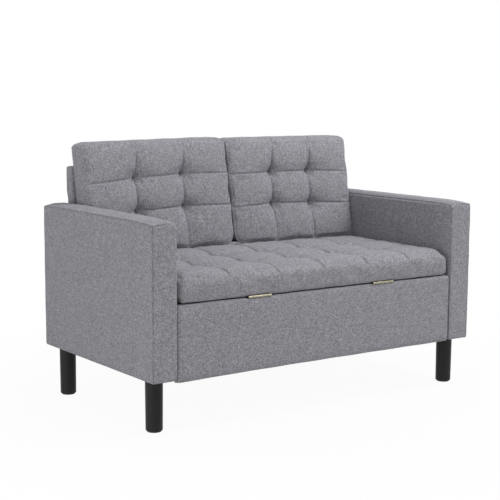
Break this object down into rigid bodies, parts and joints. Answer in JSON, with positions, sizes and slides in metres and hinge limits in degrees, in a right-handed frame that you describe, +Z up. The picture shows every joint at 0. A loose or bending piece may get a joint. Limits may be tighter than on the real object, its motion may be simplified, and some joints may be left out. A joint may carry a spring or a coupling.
{
  "type": "storage sofa",
  "caption": "Upholstered storage sofa with slim straight arms, a tufted seat that tips forward on brass hinges over a storage box, loose tufted back cushions and round legs.",
  "frame": {"origin": "on the floor under the middle of the sofa", "axes": "+X across the sofa to the right as seen from the front, +Y to its back, +Z up"},
  "size_m": [1.17, 0.645, 0.7773],
  "materials": {
    "upholstery": "woven, heathered",
    "foam": "open-cell foam",
    "fill": "polyester wadding",
    "lining": "non-woven cloth",
    "felt": "felt",
    "timber": "planed pine",
    "plywood": "plywood",
    "hardboard": "hardboard",
    "legs": "satin black paint",
    "glides": "moulded",
    "brass": "polished plate",
    "steel": "zinc plated"
  },
  "bodies": {
    "frame": {"left_arm_cover": "upholstery", "right_arm_cover": "upholstery", "back_cover": "upholstery", "front_panel_cover": "upholstery", "ledge_pad": "upholstery", "lid_rest_pads": "felt", "left_arm_frame": "timber", "right_arm_frame": "timber", "back_frame": "timber", "front_rail": "timber", "floor_ledgers": "timber", "floor_bearers": "timber", "lid_rest_rail": "timber", "left_base_board": "plywood", "right_base_board": "plywood", "base_rear_board": "plywood", "front_panel_board": "plywood", "ledge_riser": "plywood", "ledge_board": "plywood", "left_arm_inner_board": "hardboard", "right_arm_inner_board": "hardboard", "left_arm_outer_board": "hardboard", "right_arm_outer_board": "hardboard", "back_front_board": "hardboard", "back_rear_board": "hardboard", "storage_floor": "hardboard", "front_left_leg": "legs", "front_right_leg": "legs", "rear_left_leg": "legs", "rear_right_leg": "legs", "leg_glides": "glides", "left_hinge_lower_leaf": "brass", "right_hinge_lower_leaf": "brass", "left_hinge_pin": "brass", "right_hinge_pin": "brass", "lower_hinge_screws": "brass", "arm_bolts": "steel", "arm_washers": "steel", "arm_tee_nuts": "steel", "back_bolts": "steel", "back_washers": "steel", "back_tee_nuts": "steel", "leg_bolts": "steel", "leg_tee_nuts": "steel"},
    "seat_lid": {"seat_board": "plywood", "seat_foam": "foam", "seat_cover": "upholstery", "seat_lining": "lining", "upper_hinge_screws": "brass", "left_hinge_upper_leaf": "brass", "right_hinge_upper_leaf": "brass"},
    "left_cushion": {"left_cushion_cover": "upholstery", "left_cushion_fill": "fill"},
    "right_cushion": {"right_cushion_cover": "upholstery", "right_cushion_fill": "fill"}
  },
  "joints": [
    {"name": "seat_hinge", "type": "hinge", "parent": "frame", "child": "seat_lid", "pos_m": [0, -0.3185, 0.358], "axis": [1, 0, 0], "range_deg": [0, 95]},
    {"name": "left_cushion_lift", "type": "slide", "parent": "frame", "child": "left_cushion", "axis": [0, 0, 1], "range_m": [0, 0.4]},
    {"name": "right_cushion_lift", "type": "slide", "parent": "frame", "child": "right_cushion", "axis": [0, 0, 1], "range_m": [0, 0.4]}
  ]
}
